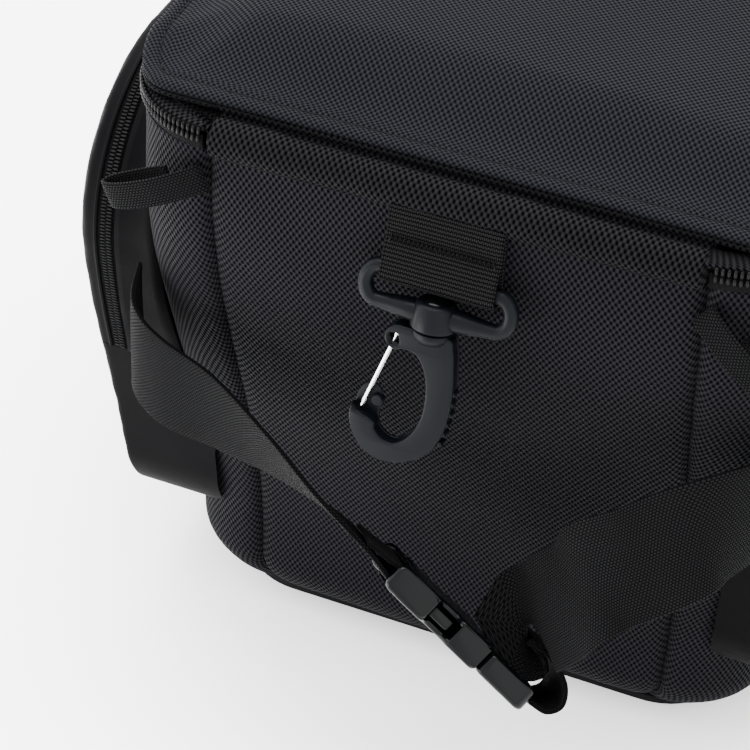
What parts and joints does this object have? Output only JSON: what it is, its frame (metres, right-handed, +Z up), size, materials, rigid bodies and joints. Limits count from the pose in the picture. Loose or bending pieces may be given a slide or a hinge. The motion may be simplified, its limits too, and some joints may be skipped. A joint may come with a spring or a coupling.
{
  "type": "motorcycle tail bag",
  "caption": "Padded fabric tail bag with a zipped lid, side pockets, a swivel snap hook and a buckled strap across the hinge side.",
  "frame": {"origin": "centre of the base panel's underside", "axes": "+Z up, +Y from the hinge side towards the zip side, +X to the right when the hinge side is seen"},
  "size_m": [0.299, 0.3179, 0.2953],
  "materials": {
    "fabric": "1680 denier basket weave, matt",
    "pocket_fabric": "fine plain weave, matt",
    "webbing": "ribbed webbing, matt",
    "zip": "woven tape with nylon coil",
    "lining": "smooth lining cloth",
    "foam": "closed-cell foam",
    "rubber": "matt coated",
    "board": "stiff sheet",
    "buckle": "glossy moulded",
    "hook": "satin moulded",
    "steel": "bright round wire",
    "slider": "satin black coated"
  },
  "bodies": {
    "bag_body": {"base_panel": "rubber", "base_board": "board", "rear_panel": "fabric", "front_panel": "fabric", "left_side_panel": "fabric", "right_side_panel": "fabric", "body_lining": "lining", "hinge_band": "fabric", "body_zip_tape": "zip", "left_tab_loop": "webbing", "right_tab_loop": "webbing", "hook_webbing": "webbing", "left_rear_strap": "webbing", "right_rear_strap": "webbing", "front_left_anchor_loop": "webbing", "front_right_anchor_loop": "webbing", "left_pocket_bucket": "pocket_fabric", "right_pocket_bucket": "pocket_fabric", "left_pocket_frame": "pocket_fabric", "right_pocket_frame": "pocket_fabric", "left_pocket_zip": "zip", "right_pocket_zip": "zip", "buckle_receiver": "buckle"},
    "lid": {"lid_panel": "fabric", "lid_skirt": "fabric", "lid_foam": "foam", "lid_lining": "lining", "lid_zip_tape": "zip", "handle_anchor_left": "webbing", "handle_anchor_right": "webbing"},
    "handle": {"carry_handle": "webbing", "handle_grip": "rubber"},
    "hook_bail": {"hook_bail": "hook"},
    "hook": {"hook_stem": "hook", "hook_body": "hook"},
    "hook_gate": {"hook_gate": "steel"},
    "buckle_plug": {"buckle_plug": "buckle"},
    "lid_slider_left": {"lid_slider_left": "slider"},
    "lid_pull_left": {"lid_pull_left": "slider"},
    "left_pocket_flap": {"left_pocket_flap": "pocket_fabric"},
    "left_pocket_slider": {"left_pocket_slider": "slider"},
    "left_pocket_pull": {"left_pocket_pull": "slider"},
    "lid_slider_right": {"lid_slider_right": "slider"},
    "lid_pull_right": {"lid_pull_right": "slider"},
    "right_pocket_flap": {"right_pocket_flap": "pocket_fabric"},
    "right_pocket_slider": {"right_pocket_slider": "slider"},
    "right_pocket_pull": {"right_pocket_pull": "slider"}
  },
  "joints": [
    {"name": "lid_hinge", "type": "hinge", "parent": "bag_body", "child": "lid", "pos_m": [0, -0.127, 0.2485], "axis": [1, 0, 0], "range_deg": [0, 100]},
    {"name": "handle_fold", "type": "hinge", "parent": "lid", "child": "handle", "pos_m": [0, 0, 0.27713], "axis": [1, 0, 0], "range_deg": [0, 148]},
    {"name": "bail_swing", "type": "hinge", "parent": "bag_body", "child": "hook_bail", "pos_m": [0.0005, -0.1401, 0.21634], "axis": [1, 0, 0], "range_deg": [-100, 0]},
    {"name": "hook_swivel", "type": "hinge", "parent": "hook_bail", "child": "hook", "pos_m": [0.0005, -0.143, 0.2047], "axis": [0, 0.2419, 0.9703], "continuous": true},
    {"name": "gate_hinge", "type": "hinge", "parent": "hook", "child": "hook_gate", "pos_m": [-0.0114, -0.14542, 0.195], "axis": [0, -0.9703, 0.2419], "range_deg": [0, 22], "stiffness_Nm_per_rad": 0.02, "springref_deg": -8.59},
    {"name": "buckle_release", "type": "slide", "parent": "bag_body", "child": "buckle_plug", "axis": [0.8014, -0.0291, -0.5974], "range_m": [0, 0.03], "deforming": ["right_rear_strap"]},
    {"name": "lid_zip_left", "type": "slide", "parent": "bag_body", "child": "lid_slider_left", "axis": [1, 0, 0], "range_m": [-0.06, 0]},
    {"name": "lid_pull_left_hinge", "type": "hinge", "parent": "lid_slider_left", "child": "lid_pull_left", "pos_m": [-0.009, 0.1407, 0.2425], "axis": [1, 0, 0], "range_deg": [0, 150]},
    {"name": "left_pocket_hinge", "type": "hinge", "parent": "bag_body", "child": "left_pocket_flap", "pos_m": [-0.149, 0, 0.1139], "axis": [0, -1, 0], "range_deg": [0, 95]},
    {"name": "left_pocket_zip_slide", "type": "slide", "parent": "bag_body", "child": "left_pocket_slider", "axis": [0, 0, 1], "range_m": [0, 0.034]},
    {"name": "left_pocket_pull_hinge", "type": "hinge", "parent": "left_pocket_slider", "child": "left_pocket_pull", "pos_m": [-0.12772, 0.1137, 0.12], "axis": [1, 0, 0], "range_deg": [0, 150]},
    {"name": "lid_zip_right", "type": "slide", "parent": "bag_body", "child": "lid_slider_right", "axis": [1, 0, 0], "range_m": [0, 0.06]},
    {"name": "lid_pull_right_hinge", "type": "hinge", "parent": "lid_slider_right", "child": "lid_pull_right", "pos_m": [0.009, 0.1407, 0.2425], "axis": [1, 0, 0], "range_deg": [0, 150]},
    {"name": "right_pocket_hinge", "type": "hinge", "parent": "bag_body", "child": "right_pocket_flap", "pos_m": [0.149, 0, 0.1139], "axis": [0, 1, 0], "range_deg": [0, 95]},
    {"name": "right_pocket_zip_slide", "type": "slide", "parent": "bag_body", "child": "right_pocket_slider", "axis": [0, 0, 1], "range_m": [0, 0.034]},
    {"name": "right_pocket_pull_hinge", "type": "hinge", "parent": "right_pocket_slider", "child": "right_pocket_pull", "pos_m": [0.12772, 0.1137, 0.12], "axis": [1, 0, 0], "range_deg": [0, 150]}
  ]
}
